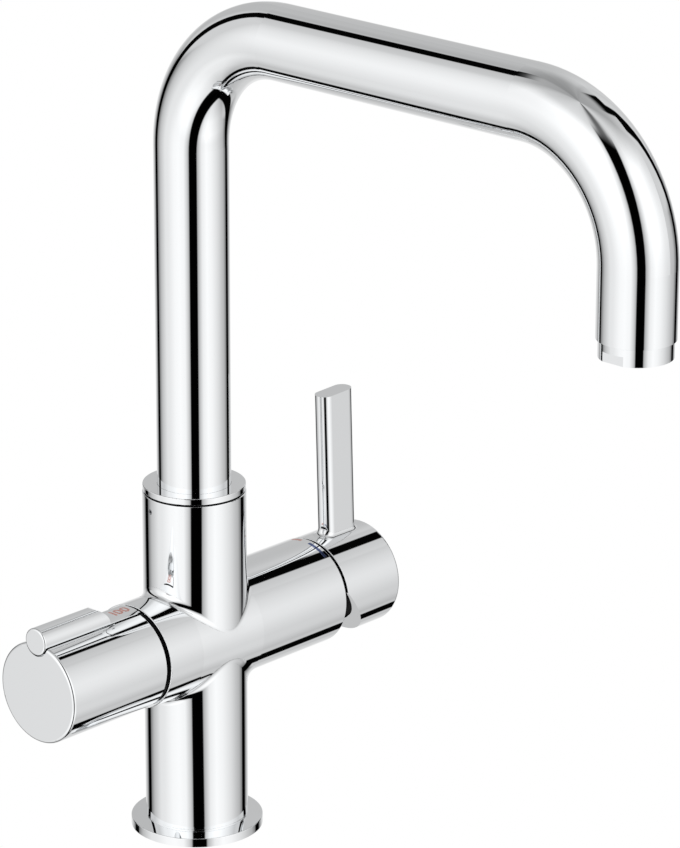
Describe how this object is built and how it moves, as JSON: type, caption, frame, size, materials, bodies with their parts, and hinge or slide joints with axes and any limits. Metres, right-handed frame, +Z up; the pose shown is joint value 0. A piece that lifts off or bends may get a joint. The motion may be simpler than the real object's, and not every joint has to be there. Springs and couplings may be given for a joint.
{
  "type": "boiling water tap",
  "caption": "Kitchen mixer tap with a swivelling U-shaped spout, a boiling water knob with a child lock button and a mixer lever on one barrel.",
  "frame": {"origin": "centre of the stud hole at the underside of the base", "axes": "+Z up the column, -Y along the spout at rest, -X towards the boiling water knob, +X towards the mixer lever"},
  "size_m": [0.1766, 0.2515, 0.3313],
  "materials": {
    "chrome": "mirror polished",
    "brass": "machined",
    "copper": "drawn tube",
    "steel": "machined",
    "black_plastic": "matte",
    "grey_plastic": "matte",
    "hose": "satin",
    "rubber": "matte",
    "ceramic": "lapped ceramic",
    "red_paint": "printed",
    "blue_paint": "printed"
  },
  "bodies": {
    "tap": {"tap_body": "chrome", "base_flange": "chrome", "flange_seal": "rubber", "inlet_block": "brass", "hot_riser": "copper", "cold_riser": "copper", "boiling_riser": "copper", "spout_glide_ring": "black_plastic", "spout_lock_screw": "steel", "boil_valve": "brass", "boil_valve_seals": "rubber", "boil_valve_nut": "brass", "knob_gap_ring": "black_plastic", "mixer_cartridge": "grey_plastic", "cartridge_seals": "rubber", "fixed_disc": "ceramic", "cartridge_nut": "brass", "cartridge_cover": "black_plastic", "hot_mark": "red_paint", "cold_mark": "blue_paint"},
    "spout": {"spout_stem": "brass", "stem_seals": "rubber", "spout_collar": "chrome", "spout_tube": "chrome", "boiling_hose": "hose", "aerator_housing": "chrome", "aerator_insert": "grey_plastic", "aerator_seal": "rubber"},
    "knob": {"boil_knob": "chrome", "knob_hub": "black_plastic", "valve_spindle": "brass", "knob_set_screw": "steel", "lock_spring": "steel", "button_pin": "steel"},
    "button": {"lock_button": "chrome", "button_clip": "steel", "heat_mark": "red_paint"},
    "rotor": {"cartridge_rotor": "grey_plastic", "moving_disc": "ceramic", "pivot_pin": "steel"},
    "lever": {"mixer_lever": "chrome", "lever_liner": "black_plastic", "lever_tongue": "steel", "lever_set_screw": "steel"}
  },
  "joints": [
    {"name": "spout_swivel", "type": "hinge", "parent": "tap", "child": "spout", "pos_m": [0, 0, 0.12], "axis": [0, 0, 1], "range_deg": [-75, 75]},
    {"name": "boil_turn", "type": "hinge", "parent": "tap", "child": "knob", "pos_m": [-0.03, 0, 0.0779], "axis": [1, 0, 0], "range_deg": [0, 90]},
    {"name": "lock_press", "type": "hinge", "parent": "knob", "child": "button", "pos_m": [-0.0763, 0, 0.0922], "axis": [0, 1, 0], "range_deg": [0, 2], "stiffness_Nm_per_rad": 2.2, "springref_deg": -2.29, "deforming": ["lock_spring"]},
    {"name": "mixer_temperature", "type": "hinge", "parent": "tap", "child": "rotor", "pos_m": [0.05, 0, 0.0779], "axis": [1, 0, 0], "range_deg": [-45, 45]},
    {"name": "mixer_flow", "type": "hinge", "parent": "rotor", "child": "lever", "pos_m": [0.072, 0, 0.0779], "axis": [0, 1, 0], "range_deg": [0, 20]}
  ]
}
